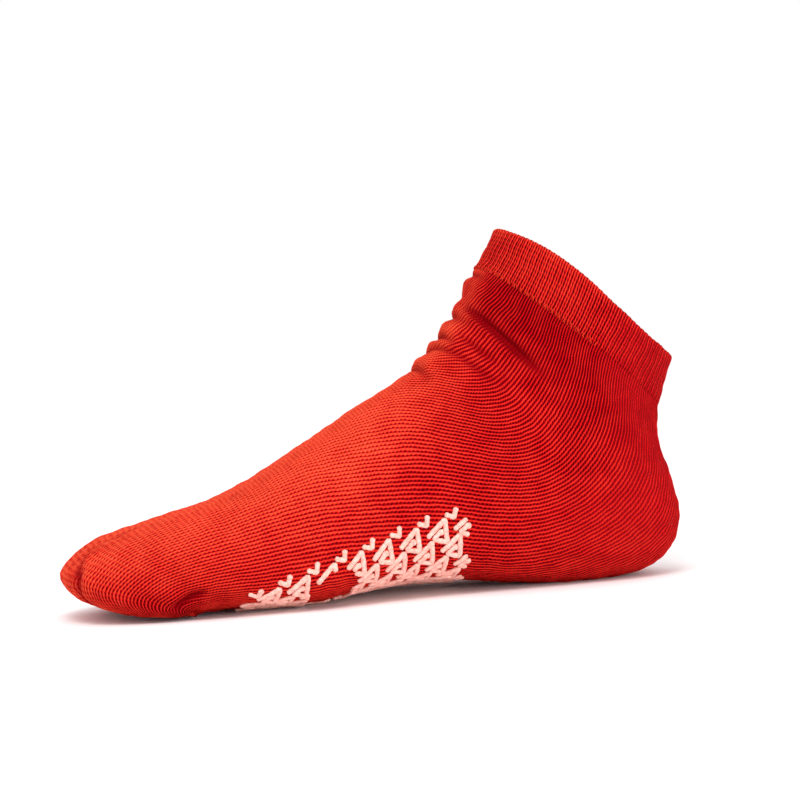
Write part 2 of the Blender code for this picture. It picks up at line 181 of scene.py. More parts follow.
# %% The smooth form as a function of place around and place along
def ring_points(ring, around):
    """Points of one ring at shares of its girth: 0 at the sole, a quarter on the inner side, a half on top.
    Each quarter is a superellipse, |a|^n + |b|^n = 1, from the sole or top point to the widest place."""
    sole_x, sole_z, top_x, top_z, inner, outer, ridge, widest, low, high = ring
    middle = (inner + outer) / 2
    quarter = np.linspace(0, math.pi / 2, 40)
    grow_low, left_low = np.sin(quarter) ** (2 / low), 1 - np.cos(quarter) ** (2 / low)
    grow_high, left_high = np.sin(quarter) ** (2 / high), np.cos(quarter) ** (2 / high)
    sides = [
        (middle + (inner - middle) * grow_low, widest * left_low),
        (ridge + (inner - ridge) * left_high, widest + (1 - widest) * grow_high),
        ((ridge + (outer - ridge) * left_high)[::-1], (widest + (1 - widest) * grow_high)[::-1]),
        ((middle + (outer - middle) * grow_low)[::-1], (widest * left_low)[::-1]),
    ]
    y = np.concatenate([side[0] for side in sides])
    share = np.concatenate([side[1] for side in sides])
    height = math.hypot(top_x - sole_x, top_z - sole_z)
    steps = np.hypot(np.diff(y), np.diff(share) * height)
    length = np.concatenate([[0], np.cumsum(steps)])
    wanted = np.mod(around, 1.0) * length[-1]
    y, share = np.interp(wanted, length, y), np.interp(wanted, length, share)
    return np.stack([sole_x + share * (top_x - sole_x), y, sole_z + share * (top_z - sole_z)], axis=-1)


def smooth_step(value, start, end):
    """0 at start and before it, 1 at end and beyond, with an even S, 3t^2 - 2t^3, between them."""
    t = np.clip((value - start) / (end - start), 0, 1)
    return t * t * (3 - 2 * t)


def last_form(around, along):
    """Points of the smooth last. around and along are grids of the same shape, with one value of along in
    a row. The toe end draws back toward the outer side, and the outer side of the sole stays down where
    the arch rises."""
    rings = smooth_rows(RING_SIZES, np.interp(along[:, 0], SHARES, FINE))
    points = np.stack([ring_points(ring, row) for ring, row in zip(rings, around)])
    outward = np.clip(points[..., 1] / (BALL_WIDTH / 2), 0, 1)
    near_toe = smooth_step(points[..., 0], 0.42 * FOOT_LENGTH, 0.08 * FOOT_LENGTH)
    points[..., 0] += TOE_SLANT * outward ** 2 * near_toe
    arch_rows = FOOT_RINGS + LEG_RINGS[:1]
    rise = np.interp(points[..., 0], [row.sole_x * FOOT_LENGTH for row in arch_rows],
                     [row.sole_z * ARCH_HEIGHT for row in arch_rows])
    low = smooth_step(points[..., 2], 0.030, 0.0)
    points[..., 2] -= rise * low * smooth_step(points[..., 1], -0.2 * BALL_WIDTH, 0.35 * BALL_WIDTH)
    return points


ball_ring = last_form(np.linspace(0, 1, 101)[None, :], np.array([[0.3]]))
print("the last is", round(1000 * float(np.ptp(ball_ring[..., 1])), 1), "mm wide at the ball")


def normals_of(points, closed=True):
    """Unit normals of a grid, facing out: the cross product of the step along and the step around. A closed
    grid meets itself round the girth."""
    if closed:
        around = np.roll(points, -1, axis=1) - np.roll(points, 1, axis=1)
    else:
        around = np.gradient(points, axis=1)
    normals = np.cross(np.gradient(points, axis=0), around)
    return normals / np.maximum(np.linalg.norm(normals, axis=2, keepdims=True), 1e-12)


# %% [markdown]
# ## Folds and creases
#
# Above the instep the tube is longer than the last, so it is pushed down into soft rolls with notches
# between them, a few creases run down the side from them, and more lie round the toe, where the seam pulls
# the knit. Folds like these can be simulated, but each one has its own place on the photographed sock, so
# they are listed one by one: every fold is a bell across a short line on the knit.

# %% The folds
Fold = namedtuple("Fold", "from_around from_along to_around to_along width height")
# Creases round the toe, and the low swellings beside them
TOE_FOLDS = (
    Fold(0.219, 0.175, 0.207, 0.098, 0.0016, -0.0030),
    Fold(0.232, 0.150, 0.222, 0.095, 0.0036, 0.0011),
    Fold(0.425, 0.055, 0.450, 0.230, 0.0042, -0.0008),
    Fold(0.452, 0.195, 0.440, 0.136, 0.0017, -0.0014),
    Fold(0.456, 0.152, 0.386, 0.114, 0.0017, -0.0020),
    Fold(0.391, 0.132, 0.394, 0.066, 0.0017, -0.0018),
    Fold(0.428, 0.152, 0.364, 0.116, 0.0022, 0.0008),
    Fold(0.530, 0.070, 0.530, 0.190, 0.0060, 0.0010),
)
# Soft rolls over the front of the ankle, and the notches between them
ROLLS = (
    Fold(0.400, 0.548, 0.600, 0.545, 0.0090, -0.0016),
    Fold(0.430, 0.645, 0.600, 0.641, 0.0030, 0.0008),
    Fold(0.435, 0.692, 0.610, 0.688, 0.0030, 0.0006),
    Fold(0.425, 0.746, 0.630, 0.742, 0.0036, 0.0009),
    Fold(0.420, 0.796, 0.640, 0.800, 0.0030, 0.0010),
    Fold(0.410, 0.874, 0.610, 0.872, 0.0062, 0.0024),
    Fold(0.422, 0.631, 0.580, 0.615, 0.0016, -0.0015),
    Fold(0.440, 0.708, 0.510, 0.664, 0.0014, -0.0014),
    Fold(0.470, 0.668, 0.620, 0.664, 0.0018, -0.0014),
    Fold(0.450, 0.726, 0.520, 0.709, 0.0014, -0.0013),
    Fold(0.470, 0.712, 0.640, 0.705, 0.0018, -0.0015),
    Fold(0.448, 0.780, 0.640, 0.772, 0.0019, -0.0017),
    Fold(0.460, 0.836, 0.600, 0.832, 0.0020, -0.0006),
    Fold(0.452, 0.901, 0.560, 0.905, 0.0012, -0.0011),
)
# Creases that run down the side from them
CREASES = (
    Fold(0.322, 0.812, 0.500, 0.808, 0.0026, -0.0012),
    Fold(0.335, 0.810, 0.486, 0.807, 0.0013, -0.0022),
    Fold(0.345, 0.796, 0.470, 0.793, 0.0016, 0.0008),
    Fold(0.372, 0.738, 0.460, 0.700, 0.0014, -0.0012),
    Fold(0.390, 0.765, 0.462, 0.747, 0.0013, -0.0012),
    Fold(0.360, 0.728, 0.388, 0.780, 0.0018, -0.0005),
    Fold(0.520, 0.812, 0.640, 0.816, 0.0022, -0.0010),
    Fold(0.560, 0.740, 0.660, 0.748, 0.0020, -0.0007),
)
FOLD_PARTS = 8  # straight parts of a fold's line
FOLD_REACH = 3.5  # widths of a fold past which it moves nothing
print("folds laid by hand:", len(TOE_FOLDS + ROLLS + CREASES))


def fold_height(points, folds):
    """How far the folds move each point out. Across a line it is the height times exp(-(distance / width)^2),
    and along the line sin(pi t)^0.7 fades it out at both ends."""
    total = np.zeros(points.shape[:-1])
    shares = np.linspace(0, 1, FOLD_PARTS + 1)
    for fold in folds:
        around = fold.from_around + shares * (fold.to_around - fold.from_around)
        along = fold.from_along + shares * (fold.to_along - fold.from_along)
        line = last_form(around[:, None], along[:, None])[:, 0]
        reach = FOLD_REACH * fold.width
        near = np.all((points > line.min(0) - reach) & (points < line.max(0) + reach), axis=-1)
        spots = points[near]
        nearest, where = np.full(len(spots), np.inf), np.zeros(len(spots))
        for i in range(FOLD_PARTS):
            run = line[i + 1] - line[i]
            share = np.clip((spots - line[i]) @ run / (run @ run), 0, 1)
            away = np.linalg.norm(spots - line[i] - share[:, None] * run, axis=-1)
            where = np.where(away < nearest, (i + share) / FOLD_PARTS, where)
            nearest = np.minimum(away, nearest)
        total[near] += fold.height * np.exp(-(nearest / fold.width) ** 2) * np.sin(math.pi * where) ** 0.7
    return total


# %% [markdown]
# ## The outer face of the knit
#
# Tiny in-and-out waves keep the cloth from looking machined. The sock stands on its print at the ball and
# on the knit at the heel, so the foot part is lifted by the print and pressed flat where it meets the
# floor, and the rim arches a little. A sculpting brush could do this by eye, but a formula gives the same
# face at any fineness, so the tube, the cuff and the print all lie on one another. The wales do not follow
# the rings exactly: they turn toward the sole as they run back and climb, and on the foot they stand wider
# apart on the sides, on the leg closer together.

# %% The outer face
WaleRow = namedtuple("WaleRow", "along turn crowd middle")
WALE_TABLE = (
    WaleRow(0.00, 0.0, 0.0, 0.20),
    WaleRow(0.25, 0.0, 0.05, 0.20),
    WaleRow(0.35, -0.012, 0.18, 0.20),
    WaleRow(0.60, -0.090, 0.20, 0.20),
    WaleRow(0.70, -0.112, -0.18, 0.20),
    WaleRow(0.80, -0.112, -0.22, 0.33),
    WaleRow(0.86, -0.140, -0.24, 0.33),
    WaleRow(0.93, -0.176, -0.22, 0.33),
    WaleRow(1.00, -0.180, -0.22, 0.33),
)
COURSE_PLACES = (0.0, 0.58, 0.66, 2.0)
COURSE_NUMBERS = (0, 102, 117, 397)
WAVE_HEIGHT = 0.00012
WAVES = (((610, 270, 330), 0), ((-350, 720, 410), 1), ((190, -520, 840), 2))  # radians per metre, and phase
# Narrow notches are pressed in, and also darkened in the knit's colour as painted shade
NARROW_CREASE = 0.003  # notches less wide than this show dark
ON_HEEL = 0.76 * FOOT_LENGTH  # from here back the sock stands on its heel
ON_PRINT = 0.62 * FOOT_LENGTH  # and from here forward on its print
RIM_WAVE = 0.0014
CENTRE = np.zeros(3)  # set below, when the surface has been measured


def wale_value(name, along):
    """A column of the wale table at places along, eased by averaging over a tenth of the length."""
    places = [row.along for row in WALE_TABLE]
    spread = np.linspace(-0.05, 0.05, 11)
    return np.mean([np.interp(along + step, places, [getattr(row, name) for row in WALE_TABLE])
                    for step in spread], axis=0)


def knit_places(columns, along):
    """Grids of places for wales that are turned by the table, x = share + turn, and crowded by it,
    around = x + crowd sin(2 pi (x - middle)) / (2 pi)."""
    turned = np.arange(columns)[None, :] / columns + wale_value("turn", along)[:, None]
    crowd, middle = wale_value("crowd", along)[:, None], wale_value("middle", along)[:, None]
    around = turned + crowd * np.sin(2 * math.pi * (turned - middle)) / (2 * math.pi)
    return around, np.repeat(along[:, None], columns, axis=1)


def course_number(along):
    """Number of the course at a place along. Courses are longer on the foot than round the ankle."""
    return np.interp(along, COURSE_PLACES, COURSE_NUMBERS)


def sock_surface(around, along, closed=True):
    """Points of the outer face, their normals and the depth of narrow creases there: the last, moved out
    along its normals by the folds and by sums of sines, lifted where it stands on the print, and cut off
    level at the floor. The rim waves by cos 3a - cos a, with a the angle round it from the back: it arches
    toward the front and sags toward the back."""
    points = last_form(around, along)
    normals = normals_of(points, closed)
    waves = sum(np.sin(points @ way + phase) for way, phase in WAVES)
    all_folds = TOE_FOLDS + ROLLS + CREASES
    narrow = [fold for fold in all_folds if fold.height < 0 and fold.width < NARROW_CREASE]
    # The depth of narrow creases also goes to the material, which darkens them as painted shade
    depth = -fold_height(points, narrow)
    out = fold_height(points, [fold for fold in all_folds if fold not in narrow]) - depth
    out += WAVE_HEIGHT * waves * smooth_step(along, 0.02, 0.06)
    points = points + out[..., None] * normals
    over_print = smooth_step(points[..., 0], ON_HEEL, ON_PRINT)
    points[..., 2] = np.maximum(points[..., 2] - FLAT_DEPTH, 0) + (PRINT_GAP + PRINT_THICKNESS) * over_print
    rim_wave = np.cos(6 * math.pi * around) - np.cos(2 * math.pi * around)
    points[..., 2] += RIM_WAVE * rim_wave * smooth_step(along, CUFF_START, 1.0)
    return points - CENTRE, normals_of(points, closed), depth


# A coarse grid is fine enough to measure the box
coarse, *_ = sock_surface(*knit_places(144, np.linspace(0, 1, 160)))
cad_knit = np.array(as_lists(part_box("knit_sock")))
CENTRE = (coarse.min((0, 1)) + coarse.max((0, 1))) / 2 - cad_knit.mean(0)
CENTRE[2] = 0.0
print("the middle of the sock's box stands at", np.round(1000 * CENTRE, 2), "mm from the toe")


# %% [markdown]
# ## From a grid to a mesh
#
# Every piece is a grid of points, or several, and a grid of points becomes a mesh of four-sided faces. Rows
# or columns that meet, as at the toe seam or where a tube closes on itself, are merged afterwards, so seams
# and ends are closed.

# %% Mesh from a grid
MERGE_DISTANCE = 1e-6


def finished_piece(name, material, mesh):
    """Merges the points of a mesh that meet, and makes it an object with its material and body."""
    work = bmesh.new()
    work.from_mesh(mesh)
    bmesh.ops.remove_doubles(work, verts=work.verts, dist=MERGE_DISTANCE)
    work.to_mesh(mesh)
    work.free()
    mesh.shade_smooth()
    mesh.materials.append(material)
    piece = bpy.data.objects.new(name, mesh)
    bpy.context.scene.collection.objects.link(piece)
    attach(piece, "root")
    print(name, "has", sum(len(face.vertices) - 2 for face in mesh.polygons), "triangles")
    return piece


def grid_mesh(name, material, grid, stitches, shares, ring=(False, True)):
    """A mesh object from a grid of rows and columns of points, a quad between each four neighbours. ring says
    whether the last row meets the first, and the last column the first. stitches gives wale and course
    numbers for the UV map, one more row or column than the grid where it closes. shares are values at the
    points, by name."""
    rows, columns = grid.shape[:2]
    row_steps, column_steps = rows - (not ring[0]), columns - (not ring[1])
    r, c = np.meshgrid(np.arange(row_steps), np.arange(column_steps), indexing="ij")
    r, c = r.ravel(), c.ravel()
    corners = [(r, c), (r + 1, c), (r + 1, c + 1), (r, c + 1)]
    faces = np.stack([(i % rows) * columns + j % columns for i, j in corners], axis=1)
    mesh = bpy.data.meshes.new(name)
    mesh.from_pydata(grid.reshape(-1, 3), [], faces)
    uv = mesh.uv_layers.new(name="stitches")
    places = np.stack([stitches[i, j] for i, j in corners], axis=1)
    uv.data.foreach_set("uv", places.ravel())
    for share_name, values in shares.items():
        mesh.attributes.new(share_name, "FLOAT", "POINT").data.foreach_set("value", values.ravel())
    return finished_piece(name, material, mesh)


def beads_piece(name, material, beads):
    """One object of many beads: each is meshed as a closed tube, and all are joined in one mesh."""
    vertices, faces, first = [], [], 0
    for grid in beads:
        rows, columns = grid.shape[:2]
        r, c = (a.ravel() for a in np.meshgrid(np.arange(rows - 1), np.arange(columns), indexing="ij"))
        corners = [(r, c), (r, c + 1), (r + 1, c + 1), (r + 1, c)]
        faces.append(first + np.stack([i * columns + j % columns for i, j in corners], axis=1))
        vertices.append(grid.reshape(-1, 3))
        first += rows * columns
    mesh = bpy.data.meshes.new(name)
    mesh.from_pydata(np.concatenate(vertices), [], np.concatenate(faces))
    return finished_piece(name, material, mesh)


# %% [markdown]
# ## Colours and nodes
#
# Colours are given as sRGB hex, as a colour picker reads them, and turned to linear light. One function
# adds a node with its settings and links, so a material can be read from top to bottom.

# %% Helpers for materials
def linear(code):
    """An sRGB hex colour as linear RGBA: c / 12.92 for dark values, ((c + 0.055) / 1.055)^2.4 above."""
    values = [int(code[i:i + 2], 16) / 255 for i in (1, 3, 5)]
    return (*[v / 12.92 if v <= 0.04045 else ((v + 0.055) / 1.055) ** 2.4 for v in values], 1.0)


def add_node(tree, kind, settings=None, **links):
    """Adds a node. settings are its own properties. links are its sockets, by name with _ for a space or by
    in0, in1 and so on: each is set to a value, or linked to another node's output."""
    node = tree.nodes.new("ShaderNode" + kind)
    for name, value in (settings or {}).items():
        setattr(node, name, value)
    for name, value in links.items():
        key = int(name[2:]) if name[:2] == "in" and name[2:].isdigit() else name.replace("_", " ")
        if isinstance(value, bpy.types.NodeSocket):
            tree.links.new(value, node.inputs[key])
        else:
            node.inputs[key].default_value = value
    return node


def new_material(name):
    """An empty node material, and its tree."""
    material = bpy.data.materials.new(name)
    material.use_nodes = True
    material.node_tree.nodes.clear()
    return material, material.node_tree


print("mid grey, #808080, is", round(linear("#808080")[0], 3), "in linear light")


# %% [markdown]
# ## Red cotton knit
#
# The yarn is soft spun cotton with some elastic, knitted as plain stitches. Real loops would need millions
# of faces, so the wales are real ridges and the loops are worked out from wale and course numbers in the
# UV map. On the foot the loops lie close, with small slanting dots between them. Round the ankle the knit
# is stretched, so each wale is a narrow cord and the gap beside it shows dark holes with the crossing yarn
# as rungs. The near black red in the holes and between the loops is painted shade. The crowns of close loops
# are orange-red and those of stretched ones a deeper red, which is partly the stretch and partly painted
# light on the top of the foot and painted shade down its sides, and there is no gloss. Three values at the
# points steer this: "open" says how far the knit is stretched and how much painted shade it gets,
# "calm" how far that painted shade is evened out to one red, and "crease_shade" how deep a crease is, where
# the red is darkened as painted shade.

# %% The knit material
COTTON_ROUGHNESS = 0.9
COTTON_SPECULAR = 0.02
# From a hole up: the near black red and the deep red are painted shade in the holes, the top is the yarn's
# red. The deep red is also the colour that creases are darkened toward, as painted shade
COTTON_TONES_WITH_HOLE_SHADE = ((0.0, "#260001"), (0.70, "#c8060e"), (0.30, "#86000a"))
# The even red that takes back part of the painted hole shade at the back of the leg and heel
CALM_RED = "#ae1015"
# How far a deep crease is darkened toward the deep red tone, as painted shade
CREASE_SHADE_SHARE = 0.88
MOST_OPEN = 1.4
STITCH_RELIEF = 0.00040
# Scales of noise, in patches to a metre. The fibres of 0.02 mm are drawn 0.3 mm coarse, so that they show
UNEVEN_SCALE = 330.0  # loops are pulled aside in patches of 3 mm
PATCH_SCALE = 130.0  # and stretched unevenly over 8 mm
DYE_SCALE = 60.0  # the dye takes unevenly over 17 mm
FIBRE_SCALE = 3500.0
STITCH_FORMULA = (
    # name, operation, inputs: a number, the name of an earlier row, or u, v or open
    ("place", "FRACT", "u"),
    ("double", "MULTIPLY_ADD", "place", 2.0, -1.0),
    ("aside", "ABSOLUTE", "double"),
    ("slant", "MULTIPLY_ADD", "double", 0.22, "v"),
    ("turn", "FRACT", "slant"),
    ("angle", "MULTIPLY", "turn", math.pi),
    ("hole_wave", "SINE", "angle"),
    ("hole", "POWER", "hole_wave", 1.6),
    ("leg_slant", "MULTIPLY_ADD", "aside", 0.5, "v"),
    ("leg_turn", "FRACT", "leg_slant"),
    ("leg_angle", "MULTIPLY", "leg_turn", math.pi),
    ("leg_wave", "SINE", "leg_angle"),
    ("crown", "MULTIPLY_ADD", "leg_wave", 0.30, 0.70),
    ("gap_start", "MULTIPLY_ADD", "open", -0.18, 0.32),
    ("gap_end", "MULTIPLY_ADD", "open", -0.28, 1.00),
    ("floor", "MULTIPLY_ADD", "open", 0.40, 0.16),
    ("deepest", "MULTIPLY_ADD", "open", 0.26, 0.72),
)


def stitch_height(tree):
    """Height of the yarn, 0 in a hole to 1 on a crown. The crown of a leg is 0.7 + 0.3 sin(pi (v + a/2)),
    with a the distance from the middle of the wale. Beyond the leg the gap takes away a share that swings
    between floor, where yarn crosses, and deepest, in the hole. The material takes its relief from this
    height, and its colour too: low yarn is darkened as painted shade in the holes."""
    uv = add_node(tree, "UVMap", {"uv_map": "stitches"})
    where = add_node(tree, "TexCoord").outputs["Object"]
    uneven = add_node(tree, "TexNoise", Vector=where, Scale=UNEVEN_SCALE, Detail=2.0)
    shift = add_node(tree, "VectorMath", {"operation": "SUBTRACT"}, in0=uneven.outputs["Color"],
                     in1=(0.5, 0.5, 0.5))
    moved = add_node(tree, "VectorMath", {"operation": "MULTIPLY_ADD"}, in0=shift.outputs[0],
                     in1=(0.50, 0.75, 0.0), in2=uv.outputs[0])
    split = add_node(tree, "SeparateXYZ", Vector=moved.outputs[0])
    patchy = add_node(tree, "TexNoise", Vector=where, Scale=PATCH_SCALE, Detail=2.0).outputs["Fac"]
    patchy = add_node(tree, "Math", {"operation": "MULTIPLY_ADD"}, in0=patchy, in1=0.8, in2=-0.4)
    openness_and_shade = add_node(tree, "Attribute", {"attribute_name": "open"}).outputs["Fac"]
    openness_and_shade = add_node(tree, "Math", in0=openness_and_shade, in1=patchy.outputs[0]).outputs[0]
    values = {"u": split.outputs["X"], "v": split.outputs["Y"], "open": openness_and_shade}
    for name, operation, *inputs in STITCH_FORMULA:
        links = {f"in{i}": values.get(value, value) for i, value in enumerate(inputs)}
        values[name] = add_node(tree, "Math", {"operation": operation}, **links).outputs[0]
    gap = add_node(tree, "MapRange", {"interpolation_type": "SMOOTHSTEP"}, in0=values["aside"],
                   in1=values["gap_start"], in2=values["gap_end"]).outputs[0]
    share = add_node(tree, "MapRange", in0=values["hole"], in3=values["floor"], in4=values["deepest"])
    taken = add_node(tree, "Math", {"operation": "MULTIPLY"}, in0=gap, in1=share.outputs[0]).outputs[0]
    left = add_node(tree, "Math", {"operation": "SUBTRACT"}, in0=1.0, in1=taken).outputs[0]
    height = add_node(tree, "Math", {"operation": "MULTIPLY"}, in0=left, in1=values["crown"]).outputs[0]
    return height, openness_and_shade, where


def knit_material(name, tones_with_hole_shade, crown_close_lit, crown_open_shaded, relief):
    """A knit finish: tones from a hole up as positions and colours, a ramp's two ends first and then the tone
    between them, where the dark tones are painted shade in the holes and the middle one is also painted into
    creases as shade; the colour of the crowns where the knit is close and where it is open, which is partly
    painted light on the close top of the foot and painted shade on its open sides; and a relief in metres."""
    material, tree = new_material(name)
    height, openness_and_shade, where = stitch_height(tree)
    # The yarn's height picks its colour: the dark of the holes is painted shade
    ramp = add_node(tree, "ValToRGB", Fac=height)
    for element, (position, colour) in zip(ramp.color_ramp.elements, tones_with_hole_shade[:2]):
        element.position, element.color = position, linear(colour)
    for position, colour in tones_with_hole_shade[2:]:
        ramp.color_ramp.elements.new(position).color = linear(colour)
    # The crowns go from orange where the knit is close to deep red where it is open: partly the stretch,
    # partly painted light on the top of the foot and painted shade on its sides and the leg
    stretch_and_shade = add_node(tree, "MapRange", in0=openness_and_shade, in2=MOST_OPEN).outputs[0]
    crown = add_node(tree, "Mix", {"data_type": "RGBA"}, in0=stretch_and_shade, in6=linear(crown_close_lit),
                     in7=linear(crown_open_shaded))
    crown_share = add_node(tree, "MapRange", {"interpolation_type": "SMOOTHSTEP"}, in0=height, in1=0.50,
                           in2=1.0)
    yarn = add_node(tree, "Mix", {"data_type": "RGBA"}, in0=crown_share.outputs[0], in6=ramp.outputs["Color"],
                    in7=crown.outputs[2])
    dye = add_node(tree, "TexNoise", Vector=where, Scale=DYE_SCALE, Detail=3.0)
    tone = add_node(tree, "MapRange", in0=dye.outputs["Fac"], in3=0.88, in4=1.12).outputs[0]
    # Calm evens out the painted shade of holes and crowns toward one red
    calm = add_node(tree, "Attribute", {"attribute_name": "calm"}).outputs["Fac"]
    yarn = add_node(tree, "Mix", {"data_type": "RGBA"}, in0=calm, in6=yarn.outputs[2], in7=linear(CALM_RED))
    # Creases are darkened toward the deep red tone: painted shade
    crease_shade = add_node(tree, "Attribute", {"attribute_name": "crease_shade"}).outputs["Fac"]
    crease_shade_share = add_node(tree, "Math", {"operation": "MULTIPLY"}, in0=crease_shade, in1=CREASE_SHADE_SHARE)
    crease_shaded = add_node(tree, "Mix", {"data_type": "RGBA"}, in0=crease_shade_share.outputs[0], in6=yarn.outputs[2],
                       in7=linear(tones_with_hole_shade[2][1]))
    shade = add_node(tree, "HueSaturation", Color=crease_shaded.outputs[2], Value=tone)
    fibre = add_node(tree, "TexNoise", Vector=where, Scale=FIBRE_SCALE, Detail=2.0)
    relief_height = add_node(tree, "Math", {"operation": "MULTIPLY_ADD"}, in0=fibre.outputs["Fac"], in1=0.16,
                             in2=height)
    bump = add_node(tree, "Bump", Height=relief_height.outputs[0], Strength=1.0, Distance=relief)
    shader = add_node(tree, "BsdfPrincipled", Base_Color=shade.outputs["Color"], Roughness=COTTON_ROUGHNESS,
                      Normal=bump.outputs["Normal"], Sheen_Weight=0.01, Sheen_Roughness=0.5,
                      Sheen_Tint=(1.0, 0.30, 0.18, 1.0))
    shader.inputs["Specular IOR Level"].default_value = COTTON_SPECULAR
    add_node(tree, "OutputMaterial", Surface=shader.outputs[0])
    print(name, "has", len(tree.nodes), "nodes")
    return material


# Crown colours: orange where the knit is close, partly painted light; deep red where it is open, partly
# painted shade
red_cotton = knit_material("red_cotton_knit", COTTON_TONES_WITH_HOLE_SHADE, "#e04e33", "#cf0a14", STITCH_RELIEF)

# %% [markdown]
# ## The knitted tube
#
# The tube is one closed shell: its outer face from the toe to the edge of the cuff, then the inner face
# back to the toe. Two columns of faces make one wale, and the points between wales lie a little lower, so
# each wale is a real ridge. At the toe the first row is pressed flat and its halves are joined, which is
# what the machine's linking seam does.

# %% Build the tube
TUBE_COLUMNS = 2 * WALES
ROW_NUMBERS = (0, 115, 219, 225)  # rows of points stand closer round the ankle, for its folds
ROW_PLACES = (0, 0.60, 0.92)
INNER_EVERY = 4  # the inner face has one row of points for so many of the outer one
WALE_VALLEY = 0.00022
CUFF_OVERLAP = 0.0016
# The depth at which a crease gets its full painted shade
CREASE_SHADE_DEPTH = 0.0016  # a crease this deep is as dark as they get


def closed_toe(points):
    """The first row with each point moved to the middle between it and the one across the seam."""
    across = (len(points) // 2 - np.arange(len(points))) % len(points)
    return (points + points[across]) / 2


def open_and_shade_shares(around, along):
    """How far the knit is stretched, and with it how much painted shade it gets: below 0, so closer than
    plain, along the top of the foot, 0.8 down its sides, about 1 round the ankle and heel, 1.3 on the leg,
    and less on the rolls. Close knit on the top of the foot is orange and lighter, open knit down the sides
    and on the leg deeper red and darker, so this is partly the stretch and partly painted light and shade.
    The tip of the toes is darkened as painted shade, and the seam under them is stretched too."""
    turned = np.mod(around, 1.0)
    from_top = np.abs(turned - 0.5)
    side = 0.80 * smooth_step(from_top, 0.10, 0.28)
    toe_side = 0.35 * smooth_step(along, 0.16, 0.10) * smooth_step(from_top, 0.08, 0.18)
    on_top = smooth_step(from_top, 0.25, 0.05)
    stretched = smooth_step((along - 0.40 - 0.06 * on_top) / (0.18 + 0.19 * on_top), 0, 1)
    close = smooth_step(from_top, 0.13 - 0.07 * smooth_step(along, 0.5, 0.6), 0.02)
    rolls = close * smooth_step(along, 0.60, 0.66)
    leg = smooth_step(along, 0.74, 0.88)
    heel = smooth_step(from_top, 0.30, 0.40) * smooth_step(along, 0.58, 0.70) * smooth_step(along, 0.86, 0.76)
    # The far part of the toe tip is darkened as painted shade
    tip_shade = smooth_step(turned, 0.385, 0.41) * smooth_step(turned, 0.62, 0.55) * smooth_step(along, 0.20, 0.13)
    share = side + (1 - side) * stretched + toe_side + 0.45 * tip_shade - 0.45 * close
    share += 0.3 * leg - 0.4 * rolls - 0.1 * heel
    under_toes = smooth_step(along, 0.11, 0.05)
    return share * (1 - under_toes) + 0.75 * under_toes


def calm_shares(around, along):
    """How far the colour is evened out to one red: at the back of the leg and heel the knit lies flat, and
    part of its painted hole shade is taken back there.
    """
    from_top = np.abs(np.mod(around, 1.0) - 0.5)
    return 0.40 * smooth_step(from_top, 0.24, 0.36) * smooth_step(along, 0.60, 0.80)


tube_end = CUFF_START + CUFF_OVERLAP / TUBE_LENGTH
rows_out = np.interp(np.arange(ROW_NUMBERS[-1] + 1), ROW_NUMBERS, (*ROW_PLACES, tube_end))
rows_in = rows_out[::-INNER_EVERY][::-1]
outer, outer_normals, outer_depth = sock_surface(*knit_places(TUBE_COLUMNS, rows_out))
between_wales = (np.arange(TUBE_COLUMNS) % 2 == 0) * smooth_step(rows_out, 0.0, 0.03)[:, None]
tube_outside = outer - (WALE_VALLEY * between_wales)[..., None] * outer_normals
tube_outside[0] = closed_toe(tube_outside[0])
inner, inner_normals, inner_depth = sock_surface(*knit_places(TUBE_COLUMNS, rows_in))
tube_inside = inner - KNIT_WALL * inner_normals
tube_inside[0] = closed_toe(tube_inside[0])

tube_rows = np.concatenate([rows_out, rows_in[::-1]])
tube_grid = np.concatenate([tube_outside, tube_inside[::-1]])
tube_open_and_shade = open_and_shade_shares(*knit_places(TUBE_COLUMNS, tube_rows))
tube_calm = calm_shares(*knit_places(TUBE_COLUMNS, tube_rows))
tube_stitches = np.stack(np.broadcast_arrays(np.arange(TUBE_COLUMNS + 1)[None, :] / 2,
                                             course_number(tube_rows)[:, None]), axis=-1)
tube_crease_shade = np.clip(np.concatenate([outer_depth, inner_depth[::-1]]) / CREASE_SHADE_DEPTH, 0, 1)
knit_tube = grid_mesh("knit_tube", red_cotton, tube_grid, tube_stitches,
                      {"open": tube_open_and_shade, "crease_shade": tube_crease_shade, "calm": tube_calm})
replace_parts(knit_tube, "knit_sock")

# %% [markdown]
# ## The ribbed cuff
#
# The cuff is knitted with one plain and one turned wale in turn, which makes 84 soft ribs that stretch
# like a spring. It is a little thicker than the tube and turned over at the rim. A modifier could thicken
# a strip of cloth, but the ribs would lose their grooves, so it is a closed ring worked out whole: the outer
# face up, a round turn over the rim, and the inner face down.

# %% The cuff's faces
RIBS = WALES // 2
RIB_POINTS = 8  # columns of points to a rib
RIB_COLUMNS = RIB_POINTS * RIBS
RIB_DEPTH = 0.00042
CUFF_ROWS = 16
CUFF_HANG = 0.0006  # how far the cuff's edge hangs below its start
CUFF_RISE = 0.0020  # over this height its face comes out from the least step to the whole one
LEAST_STEP = 0.0001
TURN_ROWS = 7  # rows of points over the rim
RIM_RADIUS = (KNIT_WALL + CUFF_STEP) / 2

